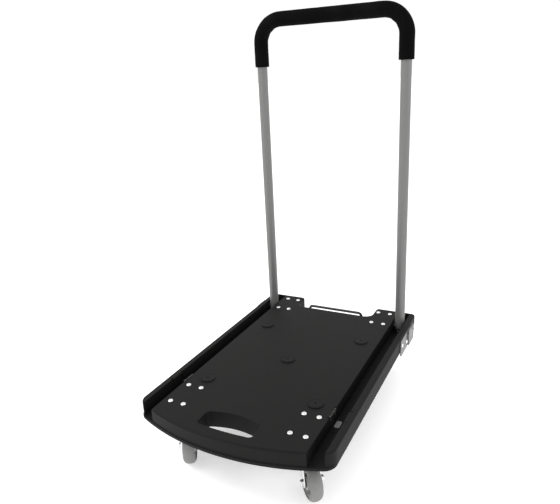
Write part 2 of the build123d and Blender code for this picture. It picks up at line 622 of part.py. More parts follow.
def handle_tube():
    """U-shaped steel tube with round leg ends."""
    bottom = PIVOT_Z - TUBE_DIAMETER / 2
    pipe = bent_pipe(handle_path(bottom), TUBE_DIAMETER, TUBE_DIAMETER - 2 * TUBE_WALL)
    radius = TUBE_DIAMETER / 2
    for x in (-LEG_X, LEG_X):
        foot = block((x - radius - CUT, x + radius + CUT), (PIVOT_Y - radius - CUT, PIVOT_Y + radius + CUT),
                     (bottom - CUT, PIVOT_Z + CUT))
        pipe -= foot - heel_shape(x)
        pipe -= heel_cuts(x)
    return pipe


def handle_grip():
    """Foam sleeve over the crossbar and both bends."""
    path = handle_path(CROSSBAR_Z - GRIP_LEG_LENGTH)
    return bent_pipe(path, GRIP_DIAMETER, TUBE_DIAMETER + 2 * GRIP_STRETCH)


def leg_plug(x):
    """Nylon plug in the foot of a leg, carrying the pivot bore and the lock notch."""
    bottom = PIVOT_Z - TUBE_DIAMETER / 2
    diameter = TUBE_DIAMETER - 2 * TUBE_WALL - 2 * PLUG_GAP
    plug = Pos(x, PIVOT_Y, 0) * rod(diameter, (bottom, bottom + PLUG_LENGTH))
    plug &= heel_shape(x)
    return plug - heel_cuts(x)


def plug_rivets():
    """Rivet from behind through the tube and into the plug of each leg."""
    radius = TUBE_DIAMETER / 2
    height = PIVOT_Z + PLUG_RIVET_HEIGHT
    head = rod(PLUG_RIVET_HEAD, (radius - PLUG_RIVET_HEAD_HEIGHT, radius + PLUG_RIVET_HEAD_HEIGHT))
    behind = Pos(LEG_X, PIVOT_Y, height) * Rot(-90, 0, 0)
    head = behind * head - Pos(LEG_X, PIVOT_Y, height) * Cylinder(radius, 2 * PLUG_RIVET_HEAD)
    return group(both_sides(head + behind * rod(PLUG_RIVET_DIAMETER, (0, radius))))


def release_shaft():
    """Cross shaft under the rear of the platform."""
    reach = LEG_X + PAWL_WIDTH
    return along_x(rod(SHAFT_DIAMETER, (-reach, reach)), SHAFT_Y, SHAFT_Z)


def release_bar():
    """Bent rod welded to the shaft, with its foot bar in the rear recess."""
    side = [(SHAFT_Y, SHAFT_Z), (BAR_Y, SHAFT_Z), (BAR_Y, BAR_Z)]
    corners = [(-BAR_HALF_WIDTH, y, z) for y, z in side] + [(BAR_HALF_WIDTH, y, z) for y, z in reversed(side)]
    path = FilletPolyline(*corners, radius=BAR_BEND)
    section = Plane(origin=path @ 0, z_dir=path % 0) * Circle(BAR_DIAMETER / 2)
    return sweep(section, path) - release_shaft()


def lock_pawl():
    """Pawl on the right end of the shaft, with its tip just under the leg's heel."""
    x_range = (LEG_X - PAWL_WIDTH / 2, LEG_X + PAWL_WIDTH / 2)
    tip = (PIVOT_Y - PAWL_TIP_LENGTH / 2, PIVOT_Y + PAWL_TIP_LENGTH / 2)
    tip_top = PIVOT_Z - TUBE_DIAMETER / 2 - PAWL_GAP
    arm = (SHAFT_Z + SHAFT_DIAMETER / 2 - PAWL_ARM, SHAFT_Z + SHAFT_DIAMETER / 2)
    pawl = block(x_range, (SHAFT_Y, tip[1]), arm) + block(x_range, tip, (arm[0], tip_top))
    pawl += along_x(rod(PAWL_HUB_DIAMETER, x_range), SHAFT_Y, SHAFT_Z)
    bore = rod(SHAFT_DIAMETER + 2 * HOLE_GAP, (x_range[0] - CUT, x_range[1] + CUT))
    return pawl - along_x(bore, SHAFT_Y, SHAFT_Z)


def shaft_bearings():
    """Nylon blocks that carry the shaft under the ribs."""
    width, length, height = BEARING_SIZE
    bearing = Pos(BEARING_X, SHAFT_Y, DECK_BASE - height / 2) * Box(width, length, height)
    bore = rod(SHAFT_DIAMETER + 2 * PIN_GAP, (BEARING_X - width, BEARING_X + width))
    bearing -= along_x(bore, SHAFT_Y, SHAFT_Z)
    for end in (-1, 1):
        y = SHAFT_Y + end * BEARING_SCREW_SPACING / 2
        hole = rod(BEARING_SCREW_DIAMETER + 2 * HOLE_GAP, (DECK_BASE - height - CUT, DECK_BASE + CUT))
        bearing -= Pos(BEARING_X, y, 0) * hole
    return group(both_sides(bearing))


def bearing_screws():
    """Screws from below through the shaft bearings."""
    base = DECK_BASE - BEARING_SIZE[2]
    screw = rod(BEARING_SCREW_DIAMETER, (base, DECK_BASE + BEARING_SCREW_LENGTH))
    screw += rod(BEARING_SCREW_HEAD, (base - BEARING_SCREW_HEAD_HEIGHT, base))
    return group([Pos(x, y, 0) * screw for x, y in bearing_screw_centres()])


def return_springs():
    """Torsion spring round the shaft beside each bearing."""
    radius = SHAFT_DIAMETER / 2 + SPRING_GAP + SPRING_WIRE / 2
    length = SPRING_TURNS * SPRING_PITCH
    path = Helix(SPRING_PITCH, length, radius)
    section = Plane(origin=path @ 0, z_dir=path % 0) * Circle(SPRING_WIRE / 2)
    coil = sweep(section, path)
    place = Pos(BEARING_X - BEARING_SIZE[0] / 2 - length - SPRING_LEG, SHAFT_Y, SHAFT_Z) * Rot(0, 90, 0)
    return group(both_sides(place * coil))


def caster_plate():
    """Top plate with the upper ball race pressed on."""
    width, length, height = PLATE_SIZE
    plate = Pos(0, 0, PLATE_BASE) * extrude(RectangleRounded(width, length, PLATE_CORNER), height)
    plate += rod(RACE_OUTER, (RACE_BASE, PLATE_BASE)) - rod(RACE_INNER, (RACE_BASE - CUT, PLATE_BASE))
    plate -= rod(KINGPIN_DIAMETER + 2 * HOLE_GAP, (PLATE_BASE - CUT, DECK_BASE + CUT))
    hole = rod(RIVET_DIAMETER + 2 * HOLE_GAP, (PLATE_BASE - CUT, DECK_BASE + CUT))
    half_x, half_y = RIVET_SPACING[0] / 2, RIVET_SPACING[1] / 2
    return plate - [Pos(sx * half_x, sy * half_y, 0) * hole for sx in (-1, 1) for sy in (-1, 1)]


def kingpin():
    """Rivet that the fork swivels on."""
    head_top = CROWN_BASE - SWIVEL_GAP
    head = rod(KINGPIN_HEAD, (head_top - KINGPIN_HEAD_HEIGHT, head_top))
    return head + rod(KINGPIN_DIAMETER, (head_top, DECK_BASE))


def ball_ring():
    """Balls between the plate and the fork."""
    ball = Pos(BALL_CIRCLE / 2, 0, BALL_Z) * Sphere(BALL_DIAMETER / 2)
    return [Rot(0, 0, i * 360 / BALL_COUNT) * ball for i in range(BALL_COUNT)]


def fork():
    """Pressed steel fork, its wheel trailing towards +X, with a dust skirt round the balls."""
    eye = Pos(TRAIL, AXLE_Z) * Circle(FORK_EYE_DIAMETER / 2)
    crown_line = (CROWN_BASE + CROWN_TOP) / 2
    crown_back = -CROWN_DIAMETER / 2 + CROWN_BACK_INSET
    crown_front = TRAIL - CROWN_FRONT_INSET
    top = Pos((crown_front + crown_back) / 2, crown_line) * Rectangle(crown_front - crown_back, FORK_STEEL)
    cheek = extrude(Plane.XZ * make_hull(eye.edges() + top.edges()), FORK_STEEL / 2, both=True)
    cheek_y = (CHEEK_IN + CHEEK_OUT) / 2
    body = Pos(0, cheek_y, 0) * cheek + Pos(0, -cheek_y, 0) * cheek
    body += block((crown_back, crown_front), (-CHEEK_OUT, CHEEK_OUT), (CROWN_BASE, CROWN_TOP))
    outer = [e for e in body.edges() if abs(abs(e.center().Y) - CHEEK_OUT) < 0.01]
    body = fillet(outer, FORK_ROUND)
    body += rod(CROWN_DIAMETER, (CROWN_BASE, CROWN_TOP))
    skirt_inner = RACE_OUTER + 2 * SKIRT_GAP
    skirt = (CROWN_TOP - CUT / 2, CROWN_TOP + SKIRT_RISE)
    body += rod(skirt_inner + 2 * SKIRT_WALL, skirt) - rod(skirt_inner, (skirt[0] - CUT, skirt[1] + CUT))
    body -= rod(KINGPIN_DIAMETER + 2 * PIN_GAP, (CROWN_BASE - CUT, CROWN_TOP + CUT))
    hole = Pos(TRAIL, 0, AXLE_Z) * Rot(90, 0, 0) * Cylinder(AXLE_DIAMETER / 2 + HOLE_GAP, 2 * CHEEK_OUT + CUT)
    return body - hole


def on_axle(shape):
    """Place a shape turned about Z on the axle of a caster."""
    return Pos(TRAIL, 0, AXLE_Z) * Rot(90, 0, 0) * shape


def axle_bolt():
    """Axle with its hexagon head on one side of the fork."""
    bolt = rod(AXLE_DIAMETER, (-CHEEK_OUT - NUT_HEIGHT - CUT, CHEEK_OUT))
    head = hexagon(BOLT_FLATS, (CHEEK_OUT, CHEEK_OUT + BOLT_HEAD_HEIGHT))
    return on_axle(bolt + fillet(head.edges().group_by(Axis.Z)[-1], BOLT_HEAD_ROUND))


def axle_nut():
    """Flanged lock nut on the other side of the fork."""
    flange = rod(NUT_FLANGE_DIAMETER, (-CHEEK_OUT - NUT_FLANGE_HEIGHT, -CHEEK_OUT))
    nut = flange + hexagon(BOLT_FLATS, (-CHEEK_OUT - NUT_HEIGHT, -CHEEK_OUT - NUT_FLANGE_HEIGHT))
    return on_axle(nut - rod(AXLE_DIAMETER + 2 * HOLE_GAP, (-CHEEK_OUT - NUT_HEIGHT - CUT, -CHEEK_OUT + CUT)))


def wheel_hub():
    """Moulded wheel centre with a thick rim, a web and a boss for the bearings."""
    rim_outer = WHEEL_DIAMETER / 2 - TREAD_THICKNESS
    rim_inner = rim_outer - HUB_RIM_THICKNESS
    boss = HUB_BOSS_DIAMETER / 2
    seat = BEARING_DIAMETER / 2 + HOLE_GAP
    half, web = WHEEL_WIDTH / 2, HUB_WEB / 2
    rim_half = half - HUB_RIM_INSET
    ledge = half - BEARING_SINK
    side = [(rim_outer, rim_half), (rim_inner, rim_half), (rim_inner - HUB_TAPER, web), (boss + HUB_TAPER, web)]
    side += [(boss, half), (seat, half), (seat, ledge), (seat - HUB_BORE_LEDGE, ledge)]
    mirrored = [(radius, -height) for radius, height in reversed(side)]
    return on_axle(turned(*side, *mirrored))


def wheel_tread():
    """Solid tyre with a rounded crown."""
    outer, inner = WHEEL_DIAMETER / 2, WHEEL_DIAMETER / 2 - TREAD_THICKNESS
    half = WHEEL_WIDTH / 2
    tread = rod(2 * outer, (-half, half))
    tread = fillet([e for e in tread.edges() if e.geom_type == GeomType.CIRCLE], TREAD_ROUND)
    tread -= rod(2 * inner, (-half - CUT, half + CUT))
    return on_axle(tread)


def wheel_bearings():
    """Two plain bearings in the hub, running on the axle."""
    outer_end = CHEEK_IN - RUNNING_GAP
    seat_end = WHEEL_WIDTH / 2 - BEARING_SINK
    bush = rod(BEARING_DIAMETER, (seat_end, WHEEL_WIDTH / 2)) + rod(BEARING_NECK, (WHEEL_WIDTH / 2, outer_end))
    bush -= rod(AXLE_DIAMETER + 2 * PIN_GAP, (seat_end - CUT, outer_end + CUT))
    return on_axle(group([bush, mirror(bush, Plane.XY)]))


def cart():
    """Every sub-part at its place, by name."""
    nodes = {
        "platform_deck": platform_deck(),
        "deck_pads": deck_pads(),
        "caster_rivets": caster_rivets(),
        "bracket_rivets": bracket_rivets(),
        "pivot_nuts": pivot_nuts(),
        "pivot_washers": pivot_washers(),
        "clip_rivets": clip_rivets(),
        "leg_buffers": leg_buffers(),
        "shaft_bearings": shaft_bearings(),
        "bearing_screws": bearing_screws(),
        "return_springs": return_springs(),
        "handle_tube": handle_tube(),
        "handle_grip": handle_grip(),
        "leg_plug_right": leg_plug(LEG_X),
        "leg_plug_left": leg_plug(-LEG_X),
        "plug_rivets": plug_rivets(),
        "release_shaft": release_shaft(),
        "release_bar": release_bar(),
    }
    handed = {"hinge_bracket": hinge_bracket(), "pivot_bolt": pivot_bolt(), "leg_clip": leg_clip(),
              "lock_pawl": lock_pawl()}
    for name, shape in handed.items():
        nodes[name + "_right"], nodes[name + "_left"] = both_sides(shape)
    places = {name: Pos(x, y, 0) for name, (x, y) in caster_centres().items()}
    nodes["caster_kingpins"] = group([place * kingpin() for place in places.values()])
    nodes["swivel_balls"] = group([place * ball for place in places.values() for ball in ball_ring()])
    turning = {"fork": fork(), "axle_bolt": axle_bolt(), "axle_nut": axle_nut(), "wheel_hub": wheel_hub(),
               "wheel_tread": wheel_tread(), "wheel_bearings": wheel_bearings()}
    for name, place in places.items():
        nodes["caster_plate_" + name] = place * caster_plate()
        trailing = CASTERS[name][2]
        for part_name, shape in turning.items():
            nodes[f"{part_name}_{name}"] = place * Rot(0, 0, trailing) * shape
    return nodes


os.makedirs("parts", exist_ok=True)
for node_name, node_shape in cart().items():
    export_step(node_shape, f"parts/{node_name}.step")
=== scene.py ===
import json
from math import copysign, cos, pi, radians, sin

import bmesh
import bpy
from mathutils import Matrix, Vector, noise


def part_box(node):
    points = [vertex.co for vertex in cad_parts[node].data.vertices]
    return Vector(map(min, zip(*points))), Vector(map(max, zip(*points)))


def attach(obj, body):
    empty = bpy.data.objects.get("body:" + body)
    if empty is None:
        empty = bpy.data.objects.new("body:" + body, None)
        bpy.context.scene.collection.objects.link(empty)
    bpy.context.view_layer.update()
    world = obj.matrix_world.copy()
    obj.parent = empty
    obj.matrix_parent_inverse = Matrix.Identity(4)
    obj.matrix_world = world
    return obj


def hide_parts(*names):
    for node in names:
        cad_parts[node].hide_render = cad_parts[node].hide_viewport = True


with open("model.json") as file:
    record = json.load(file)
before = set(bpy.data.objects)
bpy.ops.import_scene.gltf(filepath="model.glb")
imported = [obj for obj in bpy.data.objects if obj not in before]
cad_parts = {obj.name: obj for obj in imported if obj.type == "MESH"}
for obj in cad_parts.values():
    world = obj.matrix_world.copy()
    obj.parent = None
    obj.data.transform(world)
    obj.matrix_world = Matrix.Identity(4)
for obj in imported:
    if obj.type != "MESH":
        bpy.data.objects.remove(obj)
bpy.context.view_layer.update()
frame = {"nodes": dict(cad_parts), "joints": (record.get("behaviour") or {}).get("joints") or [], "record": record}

# Looks of the folding platform cart, in metres, in the frame of its CAD parts.

CAMERA_TARGET = Vector((-0.0623, 0.0871, 0.4168))
CAMERA_DISTANCE = 1.4463
CAMERA_AZIMUTH = radians(27.08)
CAMERA_ELEVATION = radians(17.96)
CAMERA_ROLL = radians(-2.68)
CAMERA_LENS = 34.97            # mm, on a sensor SENSOR_WIDTH wide
SENSOR_WIDTH = 36.0
CAMERA_RISE = -0.0035          # lens shift, as a share of the picture's width

WORLD_STRENGTH = 1.03
FLOOR_RADIUS = 60.0
FLOOR_SIDES = 96
FLOOR_GLOW = 0.42
VIEW_REACH = 200.0             # further than the far edge of the floor

CAD_BEND_RADIUS = 0.062        # centre line of the handle's bends
WELD = 1e-6                    # points closer than this are one point
NEAR = 1e-5                    # heights closer than this are level


# ---------------------------------------------------------------- shader maths

class Value:
    """Output of a shader node. Arithmetic on it adds Math nodes."""

    def __init__(self, finish, socket):
        self.finish = finish
        self.socket = socket

    def math(self, operation, *operands):
        return self.finish.add("ShaderNodeMath", {"operation": operation}, dict(enumerate(operands)))

    def __add__(self, other):
        return self.math("ADD", self, other)

    def __radd__(self, other):
        return self.math("ADD", other, self)

    def __sub__(self, other):
        return self.math("SUBTRACT", self, other)

    def __rsub__(self, other):
        return self.math("SUBTRACT", other, self)

    def __mul__(self, other):
        return self.math("MULTIPLY", self, other)

    def __rmul__(self, other):
        return self.math("MULTIPLY", other, self)

    def between(self, low, high):
        """0 below low, 1 above high, smooth between them."""
        return self.finish.add("ShaderNodeMapRange", {"interpolation_type": "SMOOTHSTEP"},
                               {"Value": self, "From Min": low, "From Max": high})


class Finish:
    """One material, built from shader nodes."""

    def __init__(self, name, **constants):
        self.material = bpy.data.materials.new(name)
        self.material.use_nodes = True
        self.tree = self.material.node_tree
        self.shader = self.tree.nodes["Principled BSDF"]
        for socket, value in constants.items():
            self.shader.inputs[socket.replace("_", " ")].default_value = value

    def add(self, kind, settings, inputs, output=0):
        """A node of this kind with its settings made and its sockets fed."""
        node = self.tree.nodes.new(kind)
        for name, value in settings.items():
            setattr(node, name, value)
        for name, value in inputs.items():
            self.feed(node.inputs[name], value)
        return Value(self, node.outputs[output])

    def feed(self, socket, value):
        if isinstance(value, Value):
            self.tree.links.new(value.socket, socket)
        else:
            socket.default_value = value

    def place(self, stretch=(1, 1, 1), turn=(0, 0, 0)):
        """Object coordinates in metres, stretched and turned."""
        spot = self.add("ShaderNodeTexCoord", {}, {}, "Object")
        return self.add("ShaderNodeMapping", {}, {"Vector": spot, "Scale": stretch, "Rotation": turn})

    def noise(self, scale, detail=3.0, roughness=0.5, where=None):
        return self.add("ShaderNodeTexNoise", {}, {
            "Vector": where or self.place(), "Scale": scale, "Detail": detail, "Roughness": roughness})

    def cells(self, scale, feature="F1", output="Distance", where=None):
        return self.add("ShaderNodeTexVoronoi", {"feature": feature},
                        {"Vector": where or self.place(), "Scale": scale}, output)

    def mix(self, amount, first, second):
        """Colour between two colours."""
        return self.add("ShaderNodeMix", {"data_type": "RGBA"}, {0: amount, 6: first, 7: second}, 2)

    def rounded(self, radius):
        """Surface normal with its sharp edges rounded to the radius."""
        return self.add("ShaderNodeBevel", {"samples": 4}, {"Radius": radius})

    def edges(self, radius):
        """1 along sharp edges of the solid, fading to 0 within the radius."""
        flat = self.add("ShaderNodeNewGeometry", {}, {}, "Normal")
        facing = self.add("ShaderNodeVectorMath", {"operation": "DOT_PRODUCT"},
                          {0: self.rounded(radius), 1: flat}, "Value")
        return (1.0 - facing).between(0.01, 0.25)

    def upward(self):
        """1 on surfaces that face up, 0 on walls and undersides."""
        normal = self.add("ShaderNodeNewGeometry", {}, {}, "Normal")
        height = self.add("ShaderNodeSeparateXYZ", {}, {"Vector": normal}, "Z")
        return height.between(0.6, 0.95)

    def bump(self, height, distance, rounding=0.0):
        """Surface normal of a relief, over edges rounded by a small radius."""
        inputs = {"Height": height, "Distance": distance, "Strength": 1.0}
        if rounding:
            inputs["Normal"] = self.rounded(rounding)
        return self.add("ShaderNodeBump", {}, inputs)

    def set(self, **sockets):
        """Feed the shader's sockets and give the finished material."""
        for name, value in sockets.items():
            self.feed(self.shader.inputs[name.replace("_", " ")], value)
        return self.material


def grey(level, warmth=0.0):
    """Opaque near-grey colour."""
    return (level * (1 + warmth), level, level * (1 - warmth), 1.0)


# ------------------------------------------------------------------- finishes

PLASTIC_WARMTH = 0.03          # how far the black leans from blue to red


def moulded_plastic(name, level, gloss=0.0, grain=0.00007):
    """Black polypropylene with a fine moulded grain, dust in the grain and rubbed edges."""
    f = Finish(name, Specular_IOR_Level=0.11)
    mottle = f.noise(9.0, detail=4.0, roughness=0.6)
    dust = f.noise(38.0, detail=6.0, roughness=0.65).between(0.52, 0.78) * f.upward()
    streaks = f.place(stretch=(1, 9, 1), turn=(0, 0, 0.5))
    scuffs = f.noise(16.0, detail=5.0, roughness=0.7, where=streaks).between(0.66, 0.74) * f.upward()
    worn = f.edges(0.0016)
    base = f.mix(mottle, grey(level * 0.85, PLASTIC_WARMTH), grey(level * 1.15, PLASTIC_WARMTH))
    dusty = f.mix(dust * 0.16, base, grey(level * 2.6, PLASTIC_WARMTH))
    scuffed = f.mix(scuffs * 0.14, dusty, grey(level * 3.0, PLASTIC_WARMTH))
    edged = f.mix(worn * 0.4, scuffed, grey(level * 2.4, PLASTIC_WARMTH))
    roughness = 0.55 - gloss + mottle * 0.08 + dust * 0.08 - worn * 0.08
    relief = f.cells(620.0) + f.noise(1400.0, detail=2.0) * 0.5
    return f.set(Base_Color=edged, Roughness=roughness, Normal=f.bump(relief, grain, rounding=0.0008))


def plated_steel(name, level, roughness):
    """Bright zinc or nickel plate with faint drawing marks."""
    f = Finish(name, Metallic=1.0)
    cloud = f.noise(120.0, detail=4.0, roughness=0.6)
    marks = f.noise(900.0, detail=2.0, roughness=0.5, where=f.place(stretch=(1, 1, 0.15)))
    worn = f.edges(0.0006)
    colour = f.mix(cloud, grey(level * 0.93), grey(min(level * 1.05, 1.0)))
    lit = f.mix(worn * 0.5, colour, grey(min(level * 1.12, 1.0)))
    rough = roughness + cloud * 0.08 + marks * 0.05 - worn * 0.05
    return f.set(Base_Color=lit, Roughness=rough, Normal=f.bump(marks, 0.00001, rounding=0.0004))


def galvanised_sheet(name):
    """Hot-dip zinc on sheet steel: a patchwork of dull and bright crystals."""
    f = Finish(name, Metallic=0.9)
    crystal = f.cells(160.0, output="Color")
    shade = f.add("ShaderNodeSeparateColor", {}, {"Color": crystal}, "Red")
    border = f.cells(160.0, "DISTANCE_TO_EDGE").between(0.0, 0.06)
    stain = f.noise(22.0, detail=5.0, roughness=0.6).between(0.5, 0.75)
    worn = f.edges(0.001)
    colour = f.mix(shade, grey(0.10), grey(0.22))
    stained = f.mix(stain * 0.35, colour, grey(0.07, warmth=0.05))
    edged = f.mix(worn * 0.5, stained, grey(0.6))
    rough = 0.32 + shade * 0.16 + stain * 0.1
    return f.set(Base_Color=edged, Roughness=rough, Normal=f.bump(border, 0.00002, rounding=0.0006))


def tube_paint(name):
    """Satin silver-grey paint with a slight orange peel and a few rubs."""
    f = Finish(name, Metallic=0.3, Specular_IOR_Level=0.4, Coat_Weight=0.1, Coat_Roughness=0.3)
    peel = f.noise(520.0, detail=2.0, roughness=0.5)
    flake = f.cells(2600.0, output="Color")
    sparkle = f.add("ShaderNodeSeparateColor", {}, {"Color": flake}, "Red")
    rub = f.noise(30.0, detail=6.0, roughness=0.7, where=f.place(stretch=(1, 1, 0.12))).between(0.6, 0.75)
    base = f.mix(sparkle, grey(0.14, warmth=0.01), grey(0.19, warmth=0.01))
    rubbed = f.mix(rub * 0.3, base, grey(0.25))
    worn = f.edges(0.0008)
    edged = f.mix(worn * 0.4, rubbed, grey(0.4))
    rough = 0.38 + sparkle * 0.08 - rub * 0.06
    return f.set(Base_Color=edged, Roughness=rough, Normal=f.bump(peel, 0.00004, rounding=0.0004))


def grip_foam_finish(name):
    """Closed-cell foam rubber: dark, with fine pores and a faint skin sheen."""
    f = Finish(name, Specular_IOR_Level=0.04)
    pores = f.cells(900.0).between(0.1, 0.55)
    coarse = f.noise(260.0, detail=4.0, roughness=0.6)
    handled = f.noise(14.0, detail=4.0, roughness=0.6).between(0.45, 0.7)
    base = f.mix(coarse, grey(0.0012), grey(0.0035))
    polished = f.mix(handled * 0.4, base, grey(0.005))
    rough = 0.78 + coarse * 0.1 - handled * 0.1
    relief = pores * 0.7 + coarse * 0.9
    return f.set(Base_Color=polished, Roughness=rough, Normal=f.bump(relief, 0.00025))


def powder_coat(name, level):
    """Black powder coat with a fine texture, rubbed bright at the edges."""
    f = Finish(name, Specular_IOR_Level=0.45)
    texture = f.noise(1100.0, detail=3.0, roughness=0.6)
    mottle = f.noise(60.0, detail=4.0)
    worn = f.edges(0.0009)
    base = f.mix(mottle, grey(level), grey(level * 1.7))
    edged = f.mix(worn * 0.35, base, grey(0.1))
    return f.set(Base_Color=edged, Roughness=0.4 + mottle * 0.12,
                 Normal=f.bump(texture, 0.00003, rounding=0.0005))


def nylon_finish(name, level):
    """Moulded nylon, faintly waxy."""
    f = Finish(name, Specular_IOR_Level=0.45)
    mottle = f.noise(140.0, detail=3.0)
    pitted = f.noise(900.0, detail=2.0)
    worn = f.edges(0.0006)
    base = f.mix(mottle, grey(level * 0.88), grey(level * 1.08))
    edged = f.mix(worn * 0.3, base, grey(level * 1.6))
    return f.set(Base_Color=edged, Roughness=0.42 + mottle * 0.1,
                 Normal=f.bump(pitted, 0.00002, rounding=0.0005))


def wheel_core_finish(name):
    """Grey polypropylene wheel centre with flow marks and a little floor dust."""
    f = Finish(name, Specular_IOR_Level=0.4)
    flow = f.noise(34.0, detail=5.0, roughness=0.6)
    grain = f.noise(1000.0, detail=2.0)
    dust = f.noise(70.0, detail=6.0, roughness=0.7).between(0.5, 0.75)
    worn = f.edges(0.001)
    base = f.mix(flow, grey(0.30, warmth=0.01), grey(0.38, warmth=0.01))
    dusty = f.mix(dust * 0.25, base, grey(0.48, warmth=0.03))
    edged = f.mix(worn * 0.25, dusty, grey(0.5))
    return f.set(Base_Color=edged, Roughness=0.45 + dust * 0.15,
                 Normal=f.bump(grain, 0.00003, rounding=0.0006))


def tempered_steel(name):
    """Dark tempered spring steel with rubbed edges and a painted highlight along them."""
    f = Finish(name, Metallic=0.8)
    tint = f.noise(90.0, detail=4.0, roughness=0.6)
    drawn = f.noise(700.0, detail=2.0, roughness=0.5, where=f.place(stretch=(1, 0.1, 1)))
    worn = f.edges(0.0005)
    base = f.mix(tint, grey(0.015, warmth=-0.1), grey(0.04, warmth=0.1))
    # Painted highlight: the edge mask lightens the dark steel to near-white grey, standing in for a glint along
    # the edges as well as for rubbed wear.
    edged = f.mix(worn * 0.8, base, grey(0.75))
    return f.set(Base_Color=edged, Roughness=0.35 + tint * 0.1,
                 Normal=f.bump(drawn, 0.00001, rounding=0.0004))


def tread_rubber(name):
    """Non-marking grey rubber, scuffed where it rolls."""
    f = Finish(name, Specular_IOR_Level=0.3)
    mottle = f.noise(45.0, detail=5.0, roughness=0.65)
    scuff = f.noise(130.0, detail=6.0, roughness=0.75).between(0.52, 0.72)
    grain = f.noise(1300.0, detail=3.0, roughness=0.6)
    base = f.mix(mottle, grey(0.19, warmth=0.01), grey(0.26, warmth=0.01))
    scuffed = f.mix(scuff * 0.35, base, grey(0.14, warmth=0.02))
    return f.set(Base_Color=scuffed, Roughness=0.62 + scuff * 0.15,
                 Normal=f.bump(grain + scuff * 0.6, 0.00005))


def make_finishes():
    """Finish of each material slot."""
    return {
        "deck_plastic": moulded_plastic("deck_plastic", 0.008),
        "pad_plastic": moulded_plastic("pad_plastic", 0.007, gloss=0.06, grain=0.00004),
        "bright_zinc": plated_steel("bright_zinc", 0.88, 0.22),
        "galvanised": galvanised_sheet("galvanised"),
        "handle_paint": tube_paint("handle_paint"),
        "grip_foam": grip_foam_finish("grip_foam"),
        "black_nylon": nylon_finish("black_nylon", 0.02),
        "spring_steel": tempered_steel("spring_steel"),
        "buffer_rubber": tread_rubber("buffer_rubber"),
        "black_steel": powder_coat("black_steel", 0.012),
        "fork_chrome": plated_steel("fork_chrome", 0.8, 0.1),
        "wheel_core": wheel_core_finish("wheel_core"),
        "wheel_tread": tread_rubber("wheel_tread"),
    }


def dress_cad_nodes(finishes):
    """Give every CAD node the finish of its slot."""
    slots = {part["node"]: part["material_slot"] for part in frame["record"]["subparts"]}
    for name, node in frame["nodes"].items():
        node.data.materials.clear()
        node.data.materials.append(finishes[slots[name]])


def add_piece(name, bm):
    """New object in the scene, made from a finished bmesh."""
    mesh = bpy.data.meshes.new(name)
    bm.to_mesh(mesh)
    bm.free()
    piece = bpy.data.objects.new(name, mesh)
    bpy.context.scene.collection.objects.link(piece)
    return piece


# ------------------------------------------------------------- foam hand grip

GRIP_SIDES = 72
GRIP_STEP = 0.006              # wanted spacing of the rings on the straights
GRIP_BEND_STEPS = 30
GRIP_END_ROUND = 0.0022
GRIP_END_SEGMENTS = 4
GRIP_UNDERSIZE = 0.00022       # leaves room for the uneven skin
BEND_FOLDS = 7                 # soft folds inside each bend
BEND_FOLD_DEPTH = 0.0008
BEND_MARGIN = 0.006            # the bend's region starts this far outside the bend
INNER_SIDE = 0.32              # share of the bend's radius that the foam fills on its inner side
WORN_WAVE = (0.00035, 42.0)    # depth and fineness of the hand-worn unevenness
WORN_GRAIN = (0.00015, 130.0)


def ring(bm, radius, centre):
    """Level circle of edges."""
    made = bmesh.ops.create_circle(bm, segments=GRIP_SIDES, radius=radius,
                                   matrix=Matrix.Translation(centre))
    return list({edge for vert in made["verts"] for edge in vert.link_edges})


def stretch(bm, edges, travel):
    """Draw a ring's edges along a straight, and give the edges at its end."""
    steps = max(1, round(travel.length / GRIP_STEP))
    for _ in range(steps):
        made = bmesh.ops.extrude_edge_only(bm, edges=edges)["geom"]
        edges = [item for item in made if isinstance(item, bmesh.types.BMEdge)]
        verts = [item for item in made if isinstance(item, bmesh.types.BMVert)]
        bmesh.ops.translate(bm, verts=verts, vec=travel / steps)
        drawn = set(verts)
        edges = [edge for edge in edges if edge.verts[0] in drawn and edge.verts[1] in drawn]
    return edges


def bend(bm, edges, centre):
    """Draw a ring's edges round a quarter bend about the Y axis, and give the edges at its end."""
    made = bmesh.ops.spin(bm, geom=edges, cent=centre, axis=(0, -1, 0), angle=pi / 2,
                          steps=GRIP_BEND_STEPS, use_merge=False, use_duplicate=False, dvec=(0, 0, 0))
    return [item for item in made["geom_last"] if isinstance(item, bmesh.types.BMEdge)]


def crease_depth(point, leg_x, crossbar_z):
    """How far the foam sinks at a point: soft folds inside each bend and a hand-worn unevenness."""
    side = copysign(1, point.x)
    centre = Vector((side * (leg_x - CAD_BEND_RADIUS), point.y, crossbar_z - CAD_BEND_RADIUS))
    arm = point - centre
    inside = max(0.0, 1.0 - arm.length / CAD_BEND_RADIUS) / INNER_SIDE
    in_bend = arm.x * side > -BEND_MARGIN and arm.z > -BEND_MARGIN
    angle = arm.angle(Vector((side, 0, 0)), 0.0)
    fade = sin(min(angle, pi / 2) * 2) if in_bend else 0.0
    wave = 0.5 - 0.5 * cos(angle * 2 * BEND_FOLDS)
    folds = BEND_FOLD_DEPTH * min(inside, 1.0) * fade * wave
    uneven = sum(depth * noise.noise(point * fineness) for depth, fineness in (WORN_WAVE, WORN_GRAIN))
    return folds + uneven


def foot_rims(bm, foot, wall_middle):
    """Outer rim edges of the sleeve's two feet, outside the middle of its wall."""
    def on_rim(vert):
        leg = Vector((copysign(foot.x, vert.co.x), foot.y))
        return abs(vert.co.z - foot.z) < NEAR and (vert.co.xy - leg).length > wall_middle
    return [edge for edge in bm.edges if all(on_rim(vert) for vert in edge.verts)]


